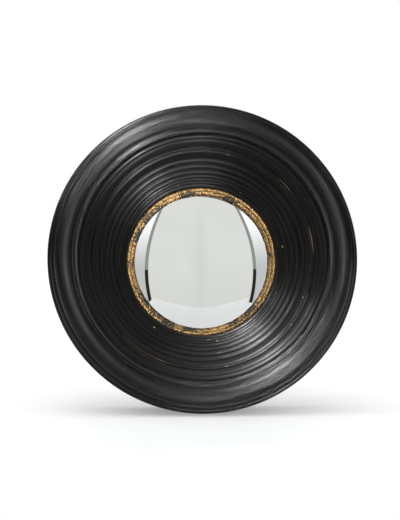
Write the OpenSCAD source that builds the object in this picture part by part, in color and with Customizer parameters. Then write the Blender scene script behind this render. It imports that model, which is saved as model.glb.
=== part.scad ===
// Convex mirror at the bottom of a deep, turned and reeded round frame.
// The mirror's axis is Y: the front faces -Y, the wall plane is y = 0 and +Z is up.
// A profile point is [radius, height], where height is measured forwards from the wall plane.
// On the back, a point is [x, up, height], with the same height.

/* [Frame] */
// Widest diameter of the frame, at its front edge
frame_d = 240; // [238:1:244]
// Depth of the frame, from the wall plane to the crest of its torus
frame_depth = 68; // [67:0.5:70]
// Height of the widest edge in front of the wall plane
edge_h = 47; // [45:0.5:48]
// Angle by which the side leans in towards the wall, in degrees
side_lean = 7.75; // [6.5:0.25:9]
// Radius of the torus moulding
torus_r = 7.6; // [7.2:0.1:7.8]
// Diameter of the recess turned into the back
recess_d = 202; // [200:1:206]
// Depth of that recess
recess_depth = 8; // [7.5:0.25:8]

/* [Mirror] */
// Diameter of the glass
glass_d = 112; // [111:0.5:112.5]
// Thickness of the glass
glass_t = 2.5; // [2.2:0.1:2.6]
// Radius of curvature of the glass's front
glass_curve = 170; // [160:2:190]
// Diameter of the gilt slip's sight edge
sight_d = 106.2; // [105.4:0.2:106.8]

/* [Back] */
// Diameter of the back board
board_d = 127.8; // [126:0.2:128]
// Thickness of the back board
board_t = 4; // [3.6:0.1:4]
// Length of a turn button between its two round ends' centres
button_reach = 13; // [11:0.5:14]
// Thickness of a turn button
button_t = 1.5; // [1.2:0.1:1.6]
// Radius, from the mirror's axis, of the turn buttons' screws
button_circle_r = 69; // [68.5:0.1:69.5]

/* [Hanger] */
// Height of the hanging ring's hinge above the mirror's axis
hinge_up = 85.5; // [85:0.1:86]
// Radius of the hanging ring's bow, at the middle of its wire
bow_r = 8.2; // [8:0.1:8.4]
// Diameter of the hanging ring's wire
wire_d = 2.2; // [2:0.1:2.2]
// Width of the hanger's strap
strap_w = 9; // [8:0.5:10]

/* [Hidden] */
$fn = 180;
bead_steps = 8;

// Heights of the seats inside the frame
floor_h = recess_depth;
seat_h = floor_h + board_t;
flange_h = 18;
lip_h = 20;

// Radii of the joints between the rings
outer_joint_r = 95.1;
outer_flange_r = 88;
inner_joint_r = 80;
inner_flange_r = 72;
board_bore_r = board_d / 2 + 0.3;
slip_bore_r = 61.5;
lip_r = 58.8;

// Outer ring: the edge's two beads, the torus and the step bead beside the deep groove
frame_r = frame_d / 2;
edge = [frame_r, edge_h];
edge_groove = [frame_r - 2.5, edge_h + 3.8];
torus_groove = [frame_r - 6.4, edge_h + 8.6];
torus_centre = [frame_r - 13.3, frame_depth - torus_r];
cove_h = frame_depth - 3.6;
step_r = 99.4;
deep_groove_h = frame_depth - 5.5;

// Cove ring: a bead, a broad ovolo, a small bead and a rubbed arris above a steep flank
cove_points = [
    [outer_joint_r, 60.8], [91.4, 58.3], [86.8, 50.5], [84.9, 49.1],
    [83.1, 48.5], [80.9, 43.2], [inner_joint_r, 41]
];
cove_rises = [1.3, 1.4, 0.7, 0, 0.5, 0];

// Reeded ring: the grooves between its reeds, from the outside in
reed_grooves = [
    [inner_joint_r, 40.2], [75.7, 36.4], [71.8, 33.5], [68.2, 31],
    [65.3, 29], [63.3, 27.3], [61.6, 25.6], [lip_r, 22.6]
];
reed_rises = [
    for (i = [1:len(reed_grooves) - 1]) 0.26 * norm(reed_grooves[i] - reed_grooves[i - 1])
];

// Gilt slip
slip_r = lip_r - 0.15;
sight_r = sight_d / 2;
sight_h = 17.75;
slip_points = [[slip_r, 21.4], [55.8, 20.2], [sight_r, sight_h + 0.65]];
slip_rises = [1, 0.3];
slip_back_h = 14.4;
slip_flange_r = slip_bore_r - 0.2;

// Glass dome
dome_clearance = 0.58;
dome_centre_h = sight_h - dome_clearance - sqrt(pow(glass_curve, 2) - pow(sight_r, 2));
rim_r = glass_d / 2;
silver_t = 0.4;
silver_r = rim_r - 2;

// Height, at a radius, of the dome's face that lies a given depth behind the glass's front.
function dome_h(r, depth = 0) = dome_centre_h + sqrt(pow(glass_curve - depth, 2) - pow(r, 2));

// Screws
pilot_r = 1.5;
shank_r = 1.75;
csk_r = 3.3;
csk_depth = 2.2;
pan_r = 3.1;
pan_t = 1.7;
play = 0.1;
outer_screw_r = (outer_joint_r + outer_flange_r) / 2;
reeded_screw_r = (inner_joint_r + inner_flange_r) / 2;
outer_screw_angles = [for (i = [0:5]) 60 * i];
reeded_screw_angles = [for (i = [0:3]) 22.5 + 90 * i];
button_angles = [for (i = [0:3]) 45 + 90 * i];
slip_pin_r = 60;
pin_d = 1;
slip_pin_angles = [for (i = [0:5]) 30 + 60 * i];
long_thread = 14;
button_thread = 12;

// Hanger
hinge_clearance = 0.05;
strap_t = 0.9;
wire_r = wire_d / 2;
hinge_h = floor_h - 2.45;
loop_r = wire_r + hinge_clearance + strap_t;
strap_foot = 64.6;
strap_screw_up = 68.2;
bow_drop = 3.2;
bow_half = sqrt(pow(bow_r, 2) - pow(bow_drop, 2));
bow_wire_r = wire_r - 0.1;
bow_angle = atan2(bow_drop, bow_half);

// Turns a profile of [radius, height] about the mirror's axis.
module turned() {
    rotate([90, 0, 0]) rotate_extrude() children();
}

// Places a shape drawn as [outwards, around, height] at a radius and angle on the back.
module at_back(radius, angle) {
    rotate([0, -angle, 0]) translate([radius, 0, 0]) rotate([90, 0, 0]) children();
}

// Places a shape drawn as [x, up, height].
module on_back() {
    rotate([90, 0, 0]) children();
}

// Points along an arc, between two angles about its centre.
function arc(centre, r, from, to, steps) = [
    for (i = [0:steps])
        let (angle = from + (to - from) * i / steps)
        centre + r * [cos(angle), sin(angle)]
];

// Points along a round moulding that stands a rise above the chord from a to b, without its ends.
// b is nearer the axis than a, and the moulding stands on the front side of the chord.
function bead(a, b, rise) =
    let (chord = norm(b - a))
    let (bead_r = (pow(chord / 2, 2) + pow(rise, 2)) / (2 * rise))
    let (along = (b - a) / chord)
    let (centre = (a + b) / 2 - (bead_r - rise) * [along[1], -along[0]])
    let (from = atan2(a[1] - centre[1], a[0] - centre[0]))
    let (points = arc(centre, bead_r, from, from + 2 * asin(chord / 2 / bead_r), bead_steps))
    [for (i = [1:bead_steps - 1]) points[i]];

// A profile's front: its points in order, with a bead of each rise between two points, or none at 0.
function moulding(points, rises) = [
    for (i = [0:len(points) - 1]) each
        rises[i] ? concat([points[i]], bead(points[i], points[i + 1], rises[i])) : [points[i]]
];

// Straight hole or shank between two heights.
module rod(r, from, to) {
    translate([0, 0, from]) cylinder(r = r, h = to - from);
}

// Cross-shaped driver recess, cut down from a height into a screw head.
module cross_recess(from, depth) {
    for (turn = [0, 90])
        rotate(turn) translate([-1.9, -0.4, from]) cube([3.8, 0.8, depth]);
}

// Countersunk wood screw, with its head flush with the recess floor.
module flange_screw() {
    difference() {
        union() {
            translate([0, 0, floor_h]) cylinder(r1 = csk_r, r2 = shank_r, h = csk_depth);
            rod(shank_r, floor_h + csk_depth, flange_h);
            rod(pilot_r, flange_h, flange_h + long_thread);
        }
        cross_recess(floor_h - 1, 2.2);
    }
}

// The holes that a flange screw fills: countersink and shank in the flange, pilot beyond it.
module flange_screw_hole() {
    translate([0, 0, floor_h]) cylinder(r1 = csk_r, r2 = shank_r, h = csk_depth);
    rod(shank_r, floor_h + csk_depth, flange_h);
}

module flange_pilot_hole() {
    rod(pilot_r, flange_h, flange_h + long_thread);
}

// Pan-head wood screw, whose head bears on a plate of the given thickness.
module pan_screw(plate_t, neck_r) {
    top = floor_h - plate_t;
    difference() {
        union() {
            rod(pan_r, top - pan_t, top);
            rod(neck_r, top, floor_h);
            rod(pilot_r, floor_h, floor_h + button_thread);
        }
        cross_recess(top - pan_t - 1, 2.1);
    }
}

module pan_pilot_hole() {
    rod(pilot_r, floor_h, floor_h + button_thread);
}

// Widest ring: it carries the edge, the torus and the face that lies against the wall.
module outer_ring() {
    back_r = frame_r - edge_h * tan(side_lean);
    color([0.09, 0.09, 0.1]) difference() {
        turned() polygon(concat(
            [[recess_d / 2, 0], [back_r, 0]],
            moulding([edge, edge_groove, torus_groove], [0.7, 1.1]),
            arc(torus_centre, torus_r, -30, 180 - asin((cove_h - torus_centre[1]) / torus_r), 32),
            moulding([[step_r, cove_h], [outer_joint_r, deep_groove_h]], [1.3]),
            [
                [outer_joint_r, flange_h], [outer_flange_r, flange_h],
                [outer_flange_r, floor_h], [recess_d / 2, floor_h]
            ]
        ));
        for (a = outer_screw_angles) at_back(outer_screw_r, a) flange_screw_hole();
    }
}

// Middle ring: it drops into the outer ring from the front.
module cove_ring() {
    color([0.1, 0.1, 0.11]) difference() {
        turned() polygon(concat(moulding(cove_points, cove_rises), [
            [inner_joint_r, flange_h], [inner_flange_r, flange_h],
            [inner_flange_r, floor_h], [outer_flange_r, floor_h],
            [outer_flange_r, flange_h], [outer_joint_r, flange_h]
        ]));
        for (a = outer_screw_angles) at_back(outer_screw_r, a) flange_pilot_hole();
        for (a = reeded_screw_angles) at_back(reeded_screw_r, a) flange_screw_hole();
    }
}

// Inner ring: its reeds step down to the gilt slip, and its back holds the glass and the board.
module reeded_ring() {
    color([0.08, 0.08, 0.09]) difference() {
        turned() polygon(concat(moulding(reed_grooves, reed_rises), [
            [lip_r, lip_h], [slip_bore_r, lip_h], [slip_bore_r, seat_h],
            [board_bore_r, seat_h], [board_bore_r, floor_h],
            [inner_flange_r, floor_h], [inner_flange_r, flange_h],
            [inner_joint_r, flange_h]
        ]));
        for (a = reeded_screw_angles) at_back(reeded_screw_r, a) flange_pilot_hole();
        for (a = button_angles) at_back(button_circle_r, a) pan_pilot_hole();
        for (a = slip_pin_angles) at_back(slip_pin_r, a) rod(pin_d / 2, lip_h, lip_h + 2);
        at_back(strap_screw_up, 90) pan_pilot_hole();
    }
}

// Gilded sight ring: an outer bead and an inner slope down to the glass.
module gilt_slip() {
    color([0.72, 0.53, 0.27]) difference() {
        turned() polygon(concat(moulding(slip_points, slip_rises), [
            [sight_r, sight_h],
            [rim_r + 0.6, dome_h(rim_r) + 0.35], [rim_r + 0.6, slip_back_h],
            [slip_flange_r, slip_back_h], [slip_flange_r, lip_h], [slip_r, lip_h]
        ]));
        for (a = slip_pin_angles) at_back(slip_pin_r, a) rod(pin_d / 2, slip_back_h, lip_h);
    }
}

// Headless pins that hold the slip in the reeded ring.
module slip_pins() {
    color("silver") for (a = slip_pin_angles)
        at_back(slip_pin_r, a) rod(pin_d / 2, slip_back_h, lip_h + 2);
}

// Part of a dome between two radii of curvature, out to a given radius from the axis.
module dome_shell(front_r, back_r, reach) {
    turned() intersection() {
        translate([0, dome_centre_h]) difference() {
            circle(r = front_r, $fn = 720);
            circle(r = back_r, $fn = 720);
        }
        square([reach, frame_depth]);
    }
}

module mirror_glass() {
    color([0.78, 0.8, 0.8]) dome_shell(glass_curve, glass_curve - glass_t, rim_r);
}

// Silvering with its protective paint, on the back of the glass.
module silver_backing() {
    back_r = glass_curve - glass_t;
    color([0.35, 0.36, 0.38]) dome_shell(back_r, back_r - silver_t, silver_r);
}

// Felt washer between the slip and the glass.
module glass_gasket() {
    inner_r = sight_r + 0.4;
    color("dimgray") turned() polygon([
        [inner_r, dome_h(inner_r) + 0.1], [rim_r, dome_h(rim_r) + 0.1],
        [rim_r, dome_h(rim_r) + 0.5], [inner_r, dome_h(inner_r) + 0.5]
    ]);
}

// Foam ring that presses the glass forwards when the board is closed.
module foam_ring() {
    inner_r = rim_r - 5.5;
    outer_r = rim_r + 0.3;
    silver_back = glass_t + silver_t;
    color([0.2, 0.2, 0.2]) turned() polygon([
        [inner_r, seat_h], [outer_r, seat_h], [outer_r, dome_h(rim_r, glass_t) - 0.2],
        [silver_r + 0.1, dome_h(silver_r + 0.1, silver_back) - 0.06],
        [inner_r, dome_h(inner_r, silver_back) - 0.06]
    ]);
}

module back_board() {
    color([0.45, 0.33, 0.22]) on_back() rod(board_d / 2, floor_h, seat_h);
}

// Turn button, drawn with its screw at the origin and its tip towards the mirror's axis.
module turn_button(angle) {
    pivot_r = 5;
    tip_r = 3;
    low = floor_h - play - button_t;
    color([0.75, 0.72, 0.6]) at_back(button_circle_r, angle) difference() {
        translate([0, 0, low]) linear_extrude(button_t) {
            circle(r = pivot_r);
            translate([-button_reach, 0]) circle(r = tip_r);
            polygon([
                [0, pivot_r - 0.7], [-button_reach, tip_r - 0.3],
                [-button_reach, 0.3 - tip_r], [0, 0.7 - pivot_r]
            ]);
        }
        rod(shank_r + hinge_clearance, low - 1, floor_h);
    }
}

module turn_button_1() { turn_button(button_angles[0]); }
module turn_button_2() { turn_button(button_angles[1]); }
module turn_button_3() { turn_button(button_angles[2]); }
module turn_button_4() { turn_button(button_angles[3]); }

module turn_button_screws() {
    color("silver") for (a = button_angles)
        at_back(button_circle_r, a) pan_screw(button_t + 2 * play, shank_r);
}

module outer_ring_screws() {
    color("goldenrod") for (a = outer_screw_angles) at_back(outer_screw_r, a) flange_screw();
}

module reeded_ring_screws() {
    color("goldenrod") for (a = reeded_screw_angles) at_back(reeded_screw_r, a) flange_screw();
}

// Strap with a rolled loop that the hanging ring turns in.
module hanger_strap() {
    foot_r = strap_w / 2;
    color("silver") on_back() difference() {
        union() {
            translate([-foot_r, strap_foot + foot_r, floor_h - strap_t])
                cube([strap_w, hinge_up - strap_foot - foot_r, strap_t]);
            translate([0, strap_foot + foot_r, floor_h - strap_t])
                cylinder(r = foot_r, h = strap_t);
            translate([0, hinge_up, hinge_h]) rotate([0, 90, 0])
                cylinder(r = loop_r, h = strap_w, center = true);
        }
        translate([0, hinge_up, hinge_h]) rotate([0, 90, 0])
            cylinder(r = wire_r + hinge_clearance, h = strap_w + 2, center = true);
        translate([0, strap_screw_up, 0]) rod(shank_r, floor_h - strap_t - 1, floor_h + 1);
    }
}

module hanger_screw() {
    color("silver") at_back(strap_screw_up, 90) pan_screw(strap_t, shank_r);
}

// D-shaped wire ring: its straight bar turns in the strap's loop, and its bow hangs down.
module hanging_ring() {
    color("silver") on_back() translate([0, hinge_up, hinge_h]) {
        rotate([0, 90, 0]) cylinder(r = wire_r, h = 2 * bow_half + 1.4, center = true);
        translate([0, -bow_drop, 0]) rotate(180 - bow_angle)
            rotate_extrude(angle = 180 + 2 * bow_angle)
                translate([bow_r, 0]) circle(r = bow_wire_r, $fn = 48);
    }
}

outer_ring();
cove_ring();
reeded_ring();
gilt_slip();
slip_pins();
glass_gasket();
mirror_glass();
silver_backing();
foam_ring();
back_board();
turn_button_1();
turn_button_2();
turn_button_3();
turn_button_4();
turn_button_screws();
outer_ring_screws();
reeded_ring_screws();
hanger_strap();
hanger_screw();
hanging_ring();
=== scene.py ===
import math

import bmesh
import bpy
import numpy as np
from mathutils import Matrix, Vector


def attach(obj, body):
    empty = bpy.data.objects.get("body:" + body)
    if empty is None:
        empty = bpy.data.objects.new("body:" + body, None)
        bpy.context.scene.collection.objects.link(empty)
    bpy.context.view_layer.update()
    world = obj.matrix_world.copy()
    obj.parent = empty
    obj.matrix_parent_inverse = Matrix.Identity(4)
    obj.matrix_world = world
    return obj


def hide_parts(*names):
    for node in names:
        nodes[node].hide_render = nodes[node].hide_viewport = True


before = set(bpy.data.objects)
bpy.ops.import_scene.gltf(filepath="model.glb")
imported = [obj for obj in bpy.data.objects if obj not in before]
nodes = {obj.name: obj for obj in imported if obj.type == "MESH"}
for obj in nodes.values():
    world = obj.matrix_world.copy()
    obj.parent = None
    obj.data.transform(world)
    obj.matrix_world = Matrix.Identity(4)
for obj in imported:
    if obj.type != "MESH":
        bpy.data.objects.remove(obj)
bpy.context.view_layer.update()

MM = 0.001
FULL_TURN = 2 * math.pi

# ---------------------------------------------------------------- rings, read from the CAD nodes

SEGMENTS = 432  # quads around a ring
CORNER = math.radians(24)  # a profile turns more than this at a corner, and less along a moulding
LONG = 2.5 * MM  # a longer piece of a profile is straight
FINE = 0.05 * MM  # spacing of the points on a smoothed profile, before it is thinned
NEAR = 0.01 * MM  # closer than this counts as the same place
PER_METRE = 1e5  # profile points are matched on a grid of 0.01 mm
ROUND = 60  # a circle of a turned profile has at least so many vertices, and a screw hole fewer
GENTLE = 150  # per metre: a profile that bends less than this has no edge and no groove
TIGHT = 900  # per metre: one that bends more than this is fully an edge or a groove
SKIRT = 24 * MM  # a ring's rows are close together this far behind its crown, and wider beyond


def vertices(node):
    """A CAD node's vertices, as rows of x, y, z."""
    mesh = nodes[node].data
    co = np.empty(len(mesh.vertices) * 3)
    mesh.vertices.foreach_get("co", co)
    return co.reshape(-1, 3)


def ring_profile(node):
    """A turned node's closed profile, in order, as points of (radius, height in front of the wall)."""
    mesh = nodes[node].data
    co = vertices(node)
    flat = np.column_stack([np.hypot(co[:, 0], co[:, 2]), -co[:, 1]])
    cells, owner, counts = np.unique(
        np.round(flat * PER_METRE), axis=0, return_inverse=True, return_counts=True
    )
    ends = np.empty(len(mesh.edges) * 2, int)
    mesh.edges.foreach_get("vertices", ends)
    links = {}
    for a, b in np.unique(owner.ravel()[ends.reshape(-1, 2)], axis=0):
        if a != b and counts[a] >= ROUND and counts[b] >= ROUND:
            links.setdefault(int(a), set()).add(int(b))
            links.setdefault(int(b), set()).add(int(a))
    at = max(links, key=lambda k: (cells[k][1] < 1e-9, cells[k][0]))
    order = [at]
    while True:
        onward = [k for k in links[at] if k not in order]
        if not onward:
            break
        at = min(onward, key=lambda k: len(links[k]))
        order.append(at)
    loop = cells[order] / PER_METRE
    loop = loop[np.hypot(*(loop - np.roll(loop, 1, axis=0)).T) > 0.03 * MM]
    after = np.roll(loop, -1, axis=0)
    turns_right = (loop[:, 0] * after[:, 1] - after[:, 0] * loop[:, 1]).sum() < 0
    return loop[::-1] if turns_right else loop


def blurred(values, width):
    """Values along a fine profile, blurred over a width in metres, with the ends held."""
    reach = int(4 * width / FINE) + 1
    kernel = np.exp(-0.5 * (np.arange(-reach, reach + 1) * FINE / width) ** 2)
    kernel /= kernel.sum()
    before = 2 * values[:1] - values[reach:0:-1]
    beyond = 2 * values[-1:] - values[-2 : -reach - 2 : -1]
    columns = np.concatenate([before, values, beyond]).T
    return np.column_stack([np.convolve(column, kernel, "valid") for column in columns])


def fine_curve(points):
    """An even curve through profile points: corners and long straights stay, facets become arcs."""
    step = np.diff(points, axis=0)
    length = np.hypot(*step.T)
    heading = step / length[:, None]
    turn = np.arccos(np.clip((heading[1:] * heading[:-1]).sum(1), -1, 1))
    smooth = (turn < CORNER) & (length[1:] < LONG) & (length[:-1] < LONG)
    pieces = []
    for i, start in enumerate(points[:-1]):
        leave = step[i]
        arrive = step[i]
        if i > 0 and smooth[i - 1]:
            share = length[i] / (length[i] + length[i - 1])
            leave = (heading[i] * (1 - share) + heading[i - 1] * share) * length[i]
        if i < len(turn) and smooth[i]:
            share = length[i] / (length[i] + length[i + 1])
            arrive = (heading[i] * (1 - share) + heading[i + 1] * share) * length[i]
        t = np.linspace(0, 1, max(2, int(length[i] / FINE * 2)), endpoint=False)[:, None]
        pieces.append(
            (2 * t**3 - 3 * t**2 + 1) * start
            + (t**3 - 2 * t**2 + t) * leave
            + (3 * t**2 - 2 * t**3) * points[i + 1]
            + (t**3 - t**2) * arrive
        )
    curve = np.vstack(pieces + [points[-1:]])
    along = np.concatenate([[0], np.cumsum(np.hypot(*np.diff(curve, axis=0).T))])
    even = np.linspace(0, along[-1], int(along[-1] / FINE))
    return np.column_stack([np.interp(even, along, curve[:, k]) for k in (0, 1)])


def drift(rng, rows, spacing, columns):
    """Smooth random values, rows by SEGMENTS, with a knot every few rows and so many around."""
    grid = rng.standard_normal((int(rows / spacing) + 3, columns))
    around = np.arange(SEGMENTS) / SEGMENTS * columns
    low = around.astype(int)
    t = (1 - np.cos((around - low) * math.pi)) / 2
    wide = grid[:, low % columns] * (1 - t) + grid[:, (low + 1) % columns] * t
    across = np.arange(rows) / spacing
    row = across.astype(int)
    t = ((1 - np.cos((across - row) * math.pi)) / 2)[:, None]
    return wide[row] * (1 - t) + wide[row + 1] * t


def step_up(values, low, high):
    """A smooth step from 0 to 1 as values go from low to high."""
    t = np.clip((values - low) / (high - low), 0, 1)
    return t * t * (3 - 2 * t)


def revolve(name, radius, height, materials, face_material, sharp, extra):
    """A mesh from rows of (radius, height), each SEGMENTS around; the last row joins the first."""
    rows = len(radius)
    angle = np.arange(SEGMENTS) / SEGMENTS * FULL_TURN
    co = np.stack([radius * np.cos(angle), -height, radius * np.sin(angle)], -1)
    index = np.arange(rows * SEGMENTS).reshape(rows, SEGMENTS)
    ahead = np.roll(index, -1, axis=0)
    quads = np.stack(
        [index, np.roll(index, -1, axis=1), np.roll(ahead, -1, axis=1), ahead], -1
    ).reshape(-1, 4)
    mesh = bpy.data.meshes.new(name)
    mesh.from_pydata(co.reshape(-1, 3).tolist(), [], quads.tolist())
    for material in materials:
        mesh.materials.append(material)
    mesh.polygons.foreach_set("material_index", np.repeat(face_material, SEGMENTS))
    mesh.polygons.foreach_set("use_smooth", np.ones(len(quads), bool))
    ends = np.empty(len(mesh.edges) * 2, int)
    mesh.edges.foreach_get("vertices", ends)
    row = ends.reshape(-1, 2) // SEGMENTS
    is_sharp = (row[:, 0] == row[:, 1]) & sharp[row[:, 0]]
    mesh.attributes.new("sharp_edge", "BOOLEAN", "EDGE").data.foreach_set("value", is_sharp)
    for key, values in extra.items():
        full = np.broadcast_to(values, (rows, SEGMENTS)).astype(np.float32).ravel()
        mesh.attributes.new(key, "FLOAT", "POINT").data.foreach_set("value", full)
    piece = bpy.data.objects.new(name, mesh)
    bpy.context.scene.collection.objects.link(piece)
    return piece


def shown_first(loop, above):
    """A profile that starts where it begins to show, and how many of its points show."""
    on_wall = loop[:, 1] < NEAR
    shown = loop[:, 1] > above
    if on_wall.any():
        shown |= on_wall | (loop[:, 0] > loop[on_wall, 0].max())
    first = int(np.argmax(shown & ~np.roll(shown, 1)))
    return np.roll(loop, -first, axis=0), int(shown.sum())


def rows_along(detailed, fine_step):
    """Which points of a fine curve become rows: closer together where it is detailed."""
    spacing = np.where(detailed, fine_step, 5 * fine_step)
    ticks = np.cumsum(FINE / spacing)
    pick = np.unique(np.searchsorted(ticks, np.arange(0, int(ticks[-1]) + 1)))
    last = len(detailed) - 1
    return np.unique(np.append(pick[pick < last - 2], last))


def chips(rng, crests, rows, number=9):
    """Small chips on the crests: each point's share of being chipped, and how deep it goes."""
    share = np.zeros((rows, SEGMENTS))
    depth = np.zeros((rows, SEGMENTS))
    at_row = np.arange(rows)[:, None]
    at_angle = np.arange(SEGMENTS)[None]
    for _ in range(number if len(crests) else 0):
        row = rng.choice(crests)
        place = rng.uniform(0, SEGMENTS)
        size = rng.uniform(0.5, 1.1)
        reach = rng.uniform(1.5, 3.2)
        gap = (at_angle - place + SEGMENTS / 2) % SEGMENTS - SEGMENTS / 2
        mark = np.exp(-(((at_row - row) / reach) ** 2) - (gap / size) ** 2)
        share = np.maximum(share, mark)
        depth += rng.uniform(0.1, 0.28) * MM * mark
    return share, depth


def swept(column):
    """A column of radii or heights, repeated around the ring."""
    return np.repeat(column, SEGMENTS, axis=1)


def turned_ring(
    name, node, materials, fine_step, seed, lines, groove=0.34 * MM, above=18.1 * MM, lumps=0
):
    """A closed ring with the CAD node's own profile; what shows from the front is finely divided.

    lines is the height of the turning lines, groove how much deeper the hollows are cut, above the
    height from which an inner ring shows, and lumps the unevenness of a gilded ground.
    """
    rng = np.random.default_rng(seed)
    loop, run = shown_first(ring_profile(node), above)
    hidden = loop[run:]
    reaches_wall = loop[:, 1].min() < NEAR
    crown = loop[:, 1].max()

    curve = blurred(fine_curve(loop[:run]), 0.14 * MM)
    tangent = np.gradient(curve, FINE, axis=0)
    tangent /= np.hypot(*tangent.T)[:, None]
    heading = np.unwrap(np.arctan2(tangent[:, 1], tangent[:, 0]))
    bend = blurred(np.gradient(heading, FINE)[:, None], 0.3 * MM)[:, 0]
    detailed = (curve[:, 1] > crown - SKIRT) | (np.abs(bend) > GENTLE)
    detailed |= not reaches_wall
    pick = rows_along(detailed, fine_step)
    flat = curve[pick]
    normal = np.column_stack([tangent[pick, 1], -tangent[pick, 0]])
    rows = len(pick)

    from_end = np.minimum(np.arange(rows), rows - 1 - np.arange(rows))
    ends_kept = np.clip(from_end / 3, 0, 1)[:, None]
    turning = rng.standard_normal(rows)[:, None] + 1.4 * drift(rng, rows, 2.5, 4)
    push = lines * (turning + 2.2 * drift(rng, rows, 6, 7)) * ends_kept
    if lumps:
        uneven = 0.6 * drift(rng, rows, 12, 216) + 0.6 * drift(rng, rows, 20, 108)
        push += lumps * ends_kept * uneven
    wear = step_up(bend[pick], GENTLE, TIGHT)
    hollow = step_up(-bend[pick], GENTLE, TIGHT)
    push -= groove * (hollow * ends_kept[:, 0])[:, None]
    crests = [] if lumps else np.flatnonzero((wear > 0.5) & detailed[pick])
    chip, chip_depth = chips(rng, crests, rows)
    push -= chip_depth

    radius = np.vstack([flat[:, :1] + push * normal[:, :1], swept(hidden[:, :1])])
    height = np.vstack([flat[:, 1:] + push * normal[:, 1:], swept(hidden[:, 1:])])
    sharp = np.append(np.zeros(rows, bool), np.ones(len(hidden), bool))
    sharp[[0, rows - 1]] = True
    face_material = np.append(np.zeros(rows, int), np.ones(len(hidden), int))
    on_side = step_up(flat[:, 0], 113 * MM, 116 * MM)
    on_side *= step_up(crown - flat[:, 1], 22 * MM, 28 * MM)
    along_profile = {
        "side": on_side,
        "inner": (flat[:, 0].max() - flat[:, 0]) / np.ptp(flat[:, 0]),
        "along": pick * FINE + seed,
        "wear": wear,
        "hollow": hollow,
    }
    blank = np.zeros(len(hidden))
    extra = {key: np.append(values, blank)[:, None] for key, values in along_profile.items()}
    extra["chip"] = np.vstack([chip, swept(blank[:, None])])
    piece = revolve(name, radius, height, materials, face_material, sharp, extra)
    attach(piece, "frame")
    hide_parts(node)
    return piece


def islands(node):
    """The separate solids of a CAD node, each as an array of its points."""
    bm = bmesh.new()
    bm.from_mesh(nodes[node].data)
    bmesh.ops.remove_doubles(bm, verts=bm.verts, dist=1e-6)
    left = set(bm.verts)
    found = []
    while left:
        group = set()
        border = [left.pop()]
        while border:
            vert = border.pop()
            group.add(vert)
            for edge in vert.link_edges:
                other = edge.other_vert(vert)
                if other in left:
                    left.remove(other)
                    border.append(other)
        found.append(np.array([v.co for v in group]))
    bm.free()
    return sorted(found, key=lambda points: tuple(points.mean(0).round(6)))


def countersink(piece, screws, sides=40):
    """Cuts a ring for the countersunk screws of a CAD node, which fill the holes."""
    bm = bmesh.new()
    circle = [(math.cos(a), math.sin(a)) for a in np.linspace(0, FULL_TURN, sides, False)]
    for points in islands(screws):
        top = points[:, 1].max()
        head = points[points[:, 1] > top - NEAR]
        centre = (head.max(0) + head.min(0)) / 2
        head_r = np.hypot(head[:, 0] - centre[0], head[:, 2] - centre[2]).max()
        mouth = (head_r + 0.6 * MM, top + 0.5 * MM)
        neck = (head_r - 1.45 * MM, top - 2.2 * MM)
        bottom = (neck[0], top - 3.2 * MM)
        loops = []
        for r, y in (mouth, neck, bottom):
            loops.append([bm.verts.new((centre[0] + r * c, y, centre[2] + r * s)) for c, s in circle])
        for low, high in zip(loops[:-1], loops[1:]):
            for i in range(sides):
                bm.faces.new((low[i], low[i - 1], high[i - 1], high[i]))
        bm.faces.new(loops[0])
        bm.faces.new(loops[-1][::-1])
    bmesh.ops.recalc_face_normals(bm, faces=bm.faces)
    mesh = bpy.data.meshes.new("cutter")
    bm.to_mesh(mesh)
    bm.free()
    cutter = bpy.data.objects.new("cutter", mesh)
    bpy.context.scene.collection.objects.link(cutter)
    cut = piece.modifiers.new("holes", "BOOLEAN")
    cut.operation = "DIFFERENCE"
    cut.solver = "EXACT"
    cut.material_mode = "INDEX"
    cut.object = cutter
    with bpy.context.temp_override(object=piece, active_object=piece):
        bpy.ops.object.modifier_apply(modifier=cut.name)
    bpy.data.objects.remove(cutter)


# ---------------------------------------------------------------- materials


class Nodes:
    """Short names for building a node tree."""

    def __init__(self, tree):
        self.tree = tree

    def node(self, kind, links=(), outputs=0, **properties):
        made = self.tree.nodes.new(kind)
        for key, value in properties.items():
            setattr(made, key, value)
        for key, value in dict(links).items():
            if isinstance(value, bpy.types.NodeSocket):
                self.tree.links.new(value, made.inputs[key])
            else:
                made.inputs[key].default_value = value
        return made.outputs[outputs]

    def math(self, operation, a, b=0.0, c=0.0):
        return self.node("ShaderNodeMath", {0: a, 1: b, 2: c}, operation=operation)

    def vector(self, operation, a, b):
        return self.node("ShaderNodeVectorMath", {0: a, 1: b}, operation=operation)

    def noise(self, vector, scale, detail=2.0, rough=0.5):
        links = {"Vector": vector, "Scale": scale, "Detail": detail, "Roughness": rough}
        return self.node("ShaderNodeTexNoise", links)

    def between(self, value, low, high, to_low=0.0, to_high=1.0):
        """A smooth step from one number to another as value goes from low to high."""
        links = {0: value, 1: low, 2: high, 3: to_low, 4: to_high}
        return self.node("ShaderNodeMapRange", links, interpolation_type="SMOOTHSTEP")

    def blend(self, share, a, b):
        mixed = self.tree.nodes.new("ShaderNodeMix")
        mixed.data_type = "RGBA"
        for key, value in ((0, share), (6, a), (7, b)):
            if isinstance(value, bpy.types.NodeSocket):
                self.tree.links.new(value, mixed.inputs[key])
            else:
                mixed.inputs[key].default_value = (*value, 1) if key else value
        return mixed.outputs[2]


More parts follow.
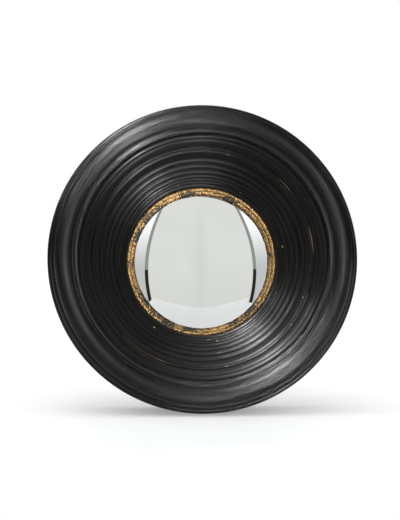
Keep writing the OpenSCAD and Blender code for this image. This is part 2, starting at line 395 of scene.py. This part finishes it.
class Look(Nodes):
    """A node material under construction, around one Principled shader."""

    def __init__(self, name, **inputs):
        self.material = bpy.data.materials.new(name)
        self.material.use_nodes = True
        super().__init__(self.material.node_tree)
        self.shader = self.tree.nodes["Principled BSDF"]
        for key, value in inputs.items():
            self.shader.inputs[key.replace("_", " ")].default_value = value

    def attribute(self, name):
        return self.node("ShaderNodeAttribute", outputs="Fac", attribute_name=name)

    def place(self):
        return self.node("ShaderNodeTexCoord", outputs="Object")

    def around(self, fineness, turn):
        """A vector that changes fast across a turned profile and slowly around it."""
        flat = self.vector("MULTIPLY", self.place(), (1, 0, 1))
        unit = self.node("ShaderNodeVectorMath", {0: flat}, operation="NORMALIZE")
        slow = self.vector("MULTIPLY", unit, (turn, 0, turn))
        across = self.math("MULTIPLY", self.attribute("along"), fineness)
        fast = self.node("ShaderNodeCombineXYZ", {1: across})
        return self.vector("ADD", slow, fast)

    def bump(self, height, distance, strength=1.0):
        links = {"Height": height, "Distance": distance, "Strength": strength}
        return self.node("ShaderNodeBump", links)

    def set(self, **links):
        for key, value in links.items():
            self.tree.links.new(value, self.shader.inputs[key.replace("_", " ")])
        return self.material


def black_paint():
    """Satin black over wood: turning streaks, brown hairlines, rubbed arrises and a few chips."""
    look = Look(
        "satin_black", Specular_IOR_Level=0.11, Anisotropic=0.8, Anisotropic_Rotation=0.25
    )
    streaks = look.noise(look.around(900, 2.2), 1, 3, 0.65)
    hairlines = look.noise(look.around(2600, 2.6), 1, 2, 0.6)
    patches = look.noise(look.place(), 28, 3, 0.6)
    wear = look.attribute("wear")
    tone = look.between(streaks, 0.3, 0.75)
    base = look.blend(tone, (0.0003, 0.0003, 0.0003), (0.0011, 0.0011, 0.001))
    brown = look.math(
        "MULTIPLY",
        look.between(hairlines, 0.56, 0.7),
        look.between(patches, 0.4, 0.62, 0.05, 0.8),
    )
    base = look.blend(look.math("MULTIPLY", brown, 0.3), base, (0.012, 0.009, 0.0055))
    rubbed = look.math("ADD", look.math("MULTIPLY", wear, 0.32), look.math("MULTIPLY", streaks, 0.6))
    rubbed = look.math("ADD", rubbed, look.math("MULTIPLY", patches, 0.5))
    rubbed = look.math("MULTIPLY", look.between(rubbed, 0.84, 0.96), wear)
    base = look.blend(rubbed, base, (0.022, 0.0145, 0.0075))
    chips = look.between(look.attribute("chip"), 0.35, 0.6)
    base = look.blend(chips, base, (0.06, 0.048, 0.035))
    rough = look.between(streaks, 0.3, 0.7, 0.26, 0.44)
    rough = look.math("MULTIPLY_ADD", rubbed, 0.2, rough)
    rough = look.math("MULTIPLY_ADD", look.attribute("side"), 0.4, rough)
    relief = look.math("ADD", look.math("MULTIPLY", hairlines, 0.5), streaks)
    return look.set(
        Base_Color=base,
        Roughness=rough,
        Normal=look.bump(relief, 0.00015),
        Tangent=look.node("ShaderNodeTangent", direction_type="RADIAL", axis="Y"),
    )


def bare_wood():
    """Sanded light wood on the back, with growth rings cut across and a few dark flecks."""
    look = Look("sanded_wood", Specular_IOR_Level=0.3)
    stretched = look.vector("MULTIPLY", look.place(), (14, 60, 240))
    grain = look.noise(stretched, 1, 5, 0.62)
    pores = look.noise(look.vector("MULTIPLY", look.place(), (120, 200, 1500)), 1, 2, 0.6)
    base = look.blend(look.between(grain, 0.3, 0.7), (0.33, 0.2, 0.105), (0.52, 0.36, 0.21))
    base = look.blend(look.between(pores, 0.62, 0.75, 0, 0.6), base, (0.16, 0.09, 0.045))
    return look.set(
        Base_Color=base,
        Roughness=look.between(grain, 0.3, 0.7, 0.55, 0.75),
        Normal=look.bump(pores, 0.00008, 0.7),
    )


def gilding():
    """Broken gold leaf over red clay and black, on a lumpy ground; the leaf thins in the hollows, a
    painted shade.
    """
    look = Look("broken_leaf", Specular_IOR_Level=0.2)
    broad = look.noise(look.place(), 75, 2, 0.5)
    flakes = look.noise(look.place(), 600, 5, 0.68)
    specks = look.noise(look.place(), 1500, 3, 0.7)
    ragged = look.math("MULTIPLY_ADD", specks, 0.25, look.math("MULTIPLY", flakes, 0.75))
    ragged = look.math("MULTIPLY_ADD", broad, 0.35, ragged)
    inward = look.between(look.attribute("inner"), 0.5, 0.95)
    worn = look.math("MULTIPLY", inward, look.between(broad, 0.44, 0.56, 0.07, 0.0))
    leaf = look.between(look.math("SUBTRACT", ragged, worn), 0.616, 0.634)
    # Painted shade: in the hollows the leaf is halved, so the dark ground shows there like shadow in
    # the creases.
    leaf = look.math("MULTIPLY", leaf, look.between(look.attribute("hollow"), 0.5, 1.0, 1.0, 0.5))
    grains = look.math("MULTIPLY_ADD", specks, 0.5, look.math("MULTIPLY", flakes, 0.5))
    grains = look.between(grains, 0.4, 0.6)
    gold = look.blend(grains, (0.05, 0.03, 0.011), (0.3, 0.185, 0.073))
    ground = look.blend(look.between(broad, 0.46, 0.56), (0.004, 0.004, 0.004), (0.03, 0.011, 0.006))
    return look.set(
        Base_Color=look.blend(leaf, ground, gold),
        Metallic=look.math("MULTIPLY", leaf, 0.85),
        Roughness=look.between(specks, 0.3, 0.75, 0.24, 0.5),
        Normal=look.bump(look.math("MULTIPLY_ADD", flakes, 3.0, leaf), 0.00026),
    )


def metal(name, dark, light, roughness, grain=700):
    """Plated or rolled metal, with tarnish in patches and fine scratches."""
    look = Look(name, Metallic=1.0)
    patches = look.noise(look.place(), 160, 4, 0.6)
    scratches = look.noise(look.vector("MULTIPLY", look.place(), (grain, 300, 6 * grain)), 1, 2, 0.6)
    return look.set(
        Base_Color=look.blend(look.between(patches, 0.35, 0.65), dark, light),
        Roughness=look.math(
            "ADD", look.between(scratches, 0.3, 0.7, roughness, roughness + 0.16),
            look.between(patches, 0.4, 0.7, 0.12, 0.0),
        ),
        Normal=look.bump(scratches, 0.00002, 0.5),
    )


def hardboard():
    """Pressed brown fibre board."""
    look = Look("fibre_board", Specular_IOR_Level=0.25)
    fibres = look.noise(look.vector("MULTIPLY", look.place(), (900, 900, 300)), 1, 5, 0.7)
    cloud = look.noise(look.place(), 35, 3, 0.6)
    base = look.blend(look.between(fibres, 0.3, 0.7), (0.11, 0.062, 0.034), (0.24, 0.15, 0.085))
    base = look.blend(look.between(cloud, 0.4, 0.65, 0, 0.45), base, (0.28, 0.18, 0.105))
    return look.set(
        Base_Color=base,
        Roughness=look.between(fibres, 0.3, 0.7, 0.5, 0.78),
        Normal=look.bump(fibres, 0.0001, 0.6),
    )


def soft(name, dark, light, scale, depth):
    """Felt or foam: fibres or cells a fraction of a millimetre across."""
    look = Look(name, Roughness=0.95, Sheen_Weight=0.25, Specular_IOR_Level=0.1)
    cells = look.noise(look.place(), scale, 4, 0.7)
    base = look.blend(look.between(cells, 0.3, 0.7), dark, light)
    return look.set(Base_Color=base, Normal=look.bump(cells, depth, 0.8))


def silvered_glass():
    """Silvered glass: nearly a perfect mirror, a little smoky, with faint specks near its rim."""
    look = Look("silvered_glass", Metallic=1.0)
    specks = look.noise(look.place(), 900, 2, 0.5)
    edge = look.between(look.attribute("edge"), 0.93, 1.0)
    dull = look.math("MULTIPLY", look.between(specks, 0.62, 0.7), edge)
    haze = look.noise(look.place(), 45, 2, 0.5)
    tint = look.blend(look.between(haze, 0.35, 0.65), (0.655, 0.665, 0.655), (0.67, 0.68, 0.67))
    return look.set(
        Base_Color=look.blend(look.math("MULTIPLY", dull, 0.7), tint, (0.12, 0.11, 0.1)),
        Roughness=look.between(dull, 0.0, 1.0, 0.012, 0.3),
    )


# ---------------------------------------------------------------- pieces

paint = black_paint()
wood = bare_wood()

outer = turned_ring("turned_outer_ring", "outer_ring", [paint, wood], 0.33 * MM, 1, 0.011 * MM)
countersink(outer, "outer_ring_screws")
cove = turned_ring("turned_cove_ring", "cove_ring", [paint, wood], 0.22 * MM, 2, 0.012 * MM)
countersink(cove, "reeded_ring_screws")
reeds = turned_ring("turned_reeded_ring", "reeded_ring", [paint, wood], 0.2 * MM, 3, 0.012 * MM)
slip = turned_ring(
    "gilded_slip", "gilt_slip", [gilding(), wood], 0.16 * MM, 4, 0.0005 * MM,
    groove=0, above=17.7 * MM, lumps=0.09 * MM,
)


def dome(chamfer=0.25 * MM, pole=0.0002, short=0.002):
    """The glass, as a fine closed dome between the CAD node's two curved faces.

    chamfer is the width of the ground edge. The angles, in radians, are a hair-thin hole through
    the middle, and how far the back face's rows stop short of the rim.
    """
    co = vertices("mirror_glass")
    reach = np.hypot(co[:, 0], co[:, 2])
    rim_r = reach.max()
    rim = reach > rim_r - NEAR
    front_rim = -co[rim, 1].min()
    back_rim = -co[rim, 1].max()
    sag = -co[:, 1].min() - front_rim
    curve_r = (rim_r**2 + sag**2) / (2 * sag)
    centre = front_rim + sag - curve_r
    back_r = math.hypot(rim_r, back_rim - centre)
    tilt = np.linspace(pole, math.asin((rim_r - chamfer) / curve_r), 130)
    front = np.column_stack([curve_r * np.sin(tilt), centre + curve_r * np.cos(tilt)])[::-1]
    edge = np.array([[rim_r, back_rim], [rim_r, front_rim - chamfer]])
    tilt = np.linspace(pole, math.asin(rim_r / back_r) - short, 24)
    back = np.column_stack([back_r * np.sin(tilt), centre + back_r * np.cos(tilt)])
    rows = np.vstack([edge, front, back])
    sharp = np.zeros(len(rows), bool)
    sharp[[0, 1, 2, len(rows) - 1]] = True
    one_material = np.zeros(len(rows), int)
    extra = {"edge": (rows[:, 0] / rim_r)[:, None]}
    piece = revolve(
        "silvered_dome", swept(rows[:, :1]), swept(rows[:, 1:]),
        [silvered_glass()], one_material, sharp, extra,
    )
    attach(piece, "frame")
    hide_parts("mirror_glass")
    return piece


glass = dome()


def finish(name, material, bevelled):
    """Gives a CAD node its material, and slightly rounded edges if it is bevelled."""
    mesh = nodes[name].data
    mesh.materials.clear()
    mesh.materials.append(material)
    if bevelled:
        bevel = nodes[name].modifiers.new("edges", "BEVEL")
        bevel.width = 0.14 * MM
        bevel.segments = 2
        bevel.limit_method = "ANGLE"
        bevel.angle_limit = math.radians(38)


brass = metal("brass", (0.45, 0.3, 0.12), (0.72, 0.53, 0.26), 0.3)
plate = metal("brass_plate", (0.5, 0.36, 0.16), (0.78, 0.6, 0.3), 0.26)
nickel = metal("nickel", (0.45, 0.43, 0.4), (0.68, 0.66, 0.62), 0.24)
steel = metal("steel", (0.33, 0.33, 0.34), (0.6, 0.6, 0.6), 0.28)
hard_pieces = {
    "outer_ring_screws": brass,
    "reeded_ring_screws": brass,
    "turn_button_1": plate,
    "turn_button_2": plate,
    "turn_button_3": plate,
    "turn_button_4": plate,
    "turn_button_screws": nickel,
    "slip_pins": steel,
    "hanger_strap": nickel,
    "hanger_screw": nickel,
    "hanging_ring": steel,
    "back_board": hardboard(),
}
soft_pieces = {
    "silver_backing": soft("backing_paint", (0.09, 0.09, 0.1), (0.16, 0.16, 0.17), 300, 0.00004),
    "glass_gasket": soft("felt", (0.012, 0.011, 0.011), (0.03, 0.028, 0.026), 2600, 0.0001),
    "foam_ring": soft("foam", (0.02, 0.02, 0.02), (0.06, 0.06, 0.06), 1800, 0.0002),
}
for name, material in hard_pieces.items():
    finish(name, material, bevelled=True)
for name, material in soft_pieces.items():
    finish(name, material, bevelled=False)

# ---------------------------------------------------------------- floor

# The mirror stands on its outer ring: on the rim's front edge and on the ring's back edge.
ring_points = vertices("outer_ring")
ring_reach = np.hypot(ring_points[:, 0], ring_points[:, 2])
rim_radius = ring_reach.max()
rim_front = -ring_points[ring_reach > rim_radius - NEAR, 1].min()
wall_radius = ring_reach[ring_points[:, 1] > -NEAR].max()
lean = math.atan2(rim_radius - wall_radius, rim_front)

# The floor's own axes: the mirror leans back from its up, and forward is away from its back.
up = Vector((0, -math.sin(lean), math.cos(lean)))
forward = Vector((0, -math.cos(lean), -math.sin(lean)))
side = Vector((1, 0, 0))


def pale_floor():
    """A pale sheet, faintly mottled; a slight glow brings it to the brightness in the photo."""
    look = Look(
        "pale_floor", Roughness=0.6, Specular_IOR_Level=0.1,
        Emission_Color=(1, 1, 1, 1), Emission_Strength=0.3,
    )
    mottle = look.between(look.noise(look.place(), 30, 3), 0.3, 0.7)
    return look.set(Base_Color=look.blend(mottle, (0.29, 0.293, 0.296), (0.305, 0.308, 0.311)))


def sheet_outline(corner=0.45, reach=0.3, slant=0.79, peak=0.02, blunt=0.03):
    """The sheet's edge, as side and forward distances in metres from where the mirror stands.

    The mirror shows the front edge: it bends away on both sides of its peak with a given slant,
    and blunt is how round the peak is. The front corners round off.
    """
    front = [
        (x, reach + slant * (math.hypot(x - peak, blunt) - blunt))
        for x in np.linspace(-0.31, 0.41, 37)
    ]
    turns = np.linspace(0, math.radians(55), 12)
    right = [(corner * math.cos(a), corner * math.sin(a)) for a in turns]
    left = [(-x, y) for x, y in right]
    return [(-4, -4), (-4, -0.3), *left, *front, *right[::-1], (4, -0.3), (4, -4)]


def sheet():
    """The floor, a tenth of a millimetre under the mirror."""
    start = Vector((0, -rim_front, -rim_radius)) - up * 0.1 * MM
    points = [start + side * a + forward * b for a, b in sheet_outline()]
    mesh = bpy.data.meshes.new("floor")
    mesh.from_pydata(points, [], [tuple(range(len(points)))])
    mesh.materials.append(pale_floor())
    piece = bpy.data.objects.new("floor", mesh)
    bpy.context.scene.collection.objects.link(piece)
    return piece


floor = sheet()

# ---------------------------------------------------------------- light


# From the mirror to the photo's camera, 2.6 degrees left of the mirror's axis and 5.7 below it.
LEFT = math.radians(2.6)
BELOW = math.radians(5.7)
to_eye = Vector(
    (-math.sin(LEFT) * math.cos(BELOW), -math.cos(LEFT) * math.cos(BELOW), -math.sin(BELOW))
)


def towards(rightwards, frontwards, upwards):
    """A direction along the floor's own axes."""
    return side * rightwards + forward * frontwards + up * upwards


def wedge(clock, off_axis):
    """The direction of a lamp whose highlight on the rings is a wedge at a place around them.

    clock is that place, in degrees from the right towards the top, and off_axis the lamp's angle
    from the mirror's axis. A ring shines where it faces half way between the lamp and the camera.
    """
    turn = math.radians(clock)
    angle = math.radians(off_axis)
    spoke = Vector((math.cos(turn), 0, math.sin(turn)))
    eye_aside = Vector((to_eye.x, 0, to_eye.z))
    along = spoke.dot(eye_aside)
    reach = along + math.sqrt(math.sin(angle) ** 2 - eye_aside.length_squared + along**2)
    return spoke * reach - eye_aside - Vector((0, math.cos(angle), 0))


class Air(Nodes):
    """The light of a room, by direction from the mirror."""

    def __init__(self, tree):
        super().__init__(tree)
        self.direction = self.node("ShaderNodeTexCoord", outputs="Generated")

    def along(self, axis):
        links = {0: self.direction, 1: tuple(axis)}
        return self.node("ShaderNodeVectorMath", links, outputs="Value", operation="DOT_PRODUCT")

    def within(self, angle, low, high, to_low=0.0, to_high=1.0):
        """A smooth step from one number to another as an angle passes two limits in degrees."""
        return self.between(angle, math.radians(low), math.radians(high), to_low, to_high)

    def lobe(self, axis, wide, soft):
        """1 within an angle of a direction, fading to 0 over a further angle, in degrees."""
        inside = math.cos(math.radians(wide))
        outside = math.cos(math.radians(wide + soft))
        return self.between(self.along(axis.normalized()), outside, inside)


def studio():
    """The room that the mirror shows: a pale panel ahead, side walls, and dark behind."""
    world = bpy.data.worlds.new("studio")
    bpy.context.scene.world = world
    world.use_nodes = True
    air = Air(world.node_tree)
    height = air.along(up)
    azimuth = air.math("ARCTAN2", air.along(side), air.along(forward))
    azimuth = air.math("SUBTRACT", azimuth, math.radians(2.1))
    above_level = air.math("SUBTRACT", air.math("ARCSINE", height), math.radians(14))
    bow = air.math("MULTIPLY", air.math("MULTIPLY", above_level, above_level), 0.258)
    aside = air.math("ADD", air.math("ABSOLUTE", azimuth), bow)

    crease = air.within(aside, 0, 7, 0.35, 0.0)
    panel = air.blend(crease, (1.06, 1.07, 1.03), (0.85, 0.86, 0.84))
    side_wall = air.blend(air.between(height, 0.1, 0.7), (0.78, 0.79, 0.81), (1.6, 1.61, 1.63))
    wall = air.blend(air.within(aside, 31.5, 32.5), panel, side_wall)
    wall = air.blend(air.between(height, -0.45, 0.3, 0.3, 0.0), wall, (0.75, 0.75, 0.78))
    gap = air.math("MULTIPLY", air.within(aside, 30.2, 30.6), air.within(aside, 32.6, 32.2))
    gap_tone = air.blend(air.between(height, 0.13, 0.145), (0.03, 0.03, 0.03), (0.4, 0.42, 0.4))
    wall = air.blend(gap, wall, gap_tone)
    in_front = air.math("MULTIPLY", air.within(aside, 66, 50), air.between(height, 0.93, 0.86))
    room = air.blend(in_front, (0.1, 0.1, 0.105), wall)
    overhead = air.lobe(towards(-0.12, 0.1, 1.0), 12, 22)
    room = air.vector("ADD", room, air.vector("MULTIPLY", (4.5, 4.5, 4.5), overhead))
    seen = air.node("ShaderNodeLightPath", outputs="Is Camera Ray")
    background = air.tree.nodes["Background"]
    background.inputs["Strength"].default_value = 1.0
    air.tree.links.new(air.blend(seen, room, (1, 1, 1)), background.inputs["Color"])


studio()


def linked(name, pieces, state):
    """A collection for light linking, with the pieces included or excluded."""
    group = bpy.data.collections.new(name)
    for piece in pieces:
        group.objects.link(piece)
    for member in group.collection_objects:
        member.light_linking.link_state = state
    return group


no_floor = linked("casts shadows", (floor,), "EXCLUDE")


def softbox(lit, direction, strength, width, shadows=no_floor):
    """A distant lamp a given number of degrees wide, for some pieces only."""
    lamp = bpy.data.lights.new("softbox", "SUN")
    lamp.energy = strength
    lamp.angle = math.radians(width)
    source = bpy.data.objects.new("softbox", lamp)
    source.rotation_euler = direction.to_track_quat("Z", "Y").to_euler()
    source.light_linking.receiver_collection = lit
    source.light_linking.blocker_collection = shadows
    bpy.context.scene.collection.objects.link(source)


on_paint = linked("lit as paint", (glass, floor, slip), "EXCLUDE")
on_outer = linked("lit as the outer ring", (outer,), "INCLUDE")
on_leaf = linked("lit as leaf", (slip,), "INCLUDE")
on_floor = linked("lit as floor", (floor,), "INCLUDE")

# The photo's two bright wedges, at the upper left and the lower right of the frame.
softbox(on_paint, wedge(123, 45), 11.0, 8)
softbox(on_paint, wedge(123, 56), 4.0, 8)
softbox(on_paint, wedge(123, 72), 2.2, 8)
softbox(on_paint, wedge(150, 60), 2.2, 8)
softbox(on_paint, wedge(303, 28), 6.2, 8)
softbox(on_outer, towards(0.22, 0.94, 0.26), 1.7, 8)
softbox(on_paint, towards(0.05, 0.83, -0.56), 2.5, 14)

softbox(on_leaf, wedge(123, 45), 3.0, 25)
softbox(on_leaf, towards(0.45, 0.75, -0.5), 8.0, 25)
softbox(on_leaf, towards(0.25, 0.95, 0.15), 2.4, 25)

softbox(on_floor, towards(0.0, 0.25, 1.0), 1.5, 90, shadows=None)
for turn in np.linspace(0, FULL_TURN, 6, endpoint=False):
    softbox(on_floor, towards(math.sin(turn), math.cos(turn), 0.55), 0.95, 60, shadows=None)

# ---------------------------------------------------------------- camera


def facing(direction):
    """A camera's right, above and back axes, when it looks from a direction."""
    back = direction.normalized()
    right = up.cross(back).normalized()
    return right, back.cross(right), back


def photographer(distance=1.3, lens=151.2, aim=(2.22 * MM, 1.45 * MM)):
    """The photo's camera, at a distance from the middle of the mirror's front rim.

    aim is how far it points to the left of that middle, and below it.
    """
    centre = Vector((0, -rim_front, 0))
    right, above, _ = facing(to_eye)
    eye = centre + to_eye * distance
    target = centre - right * aim[0] - above * aim[1]
    camera = bpy.data.objects.new("camera", bpy.data.cameras.new("camera"))
    bpy.context.scene.collection.objects.link(camera)
    camera.data.sensor_fit = "HORIZONTAL"
    camera.data.sensor_width = 36
    camera.data.lens = lens
    camera.data.clip_end = 50
    axes = Matrix(facing(eye - target)).transposed().to_4x4()
    camera.matrix_world = Matrix.Translation(eye) @ axes
    return camera


bpy.context.scene.camera = photographer()
bpy.context.scene.view_settings.view_transform = "Standard"
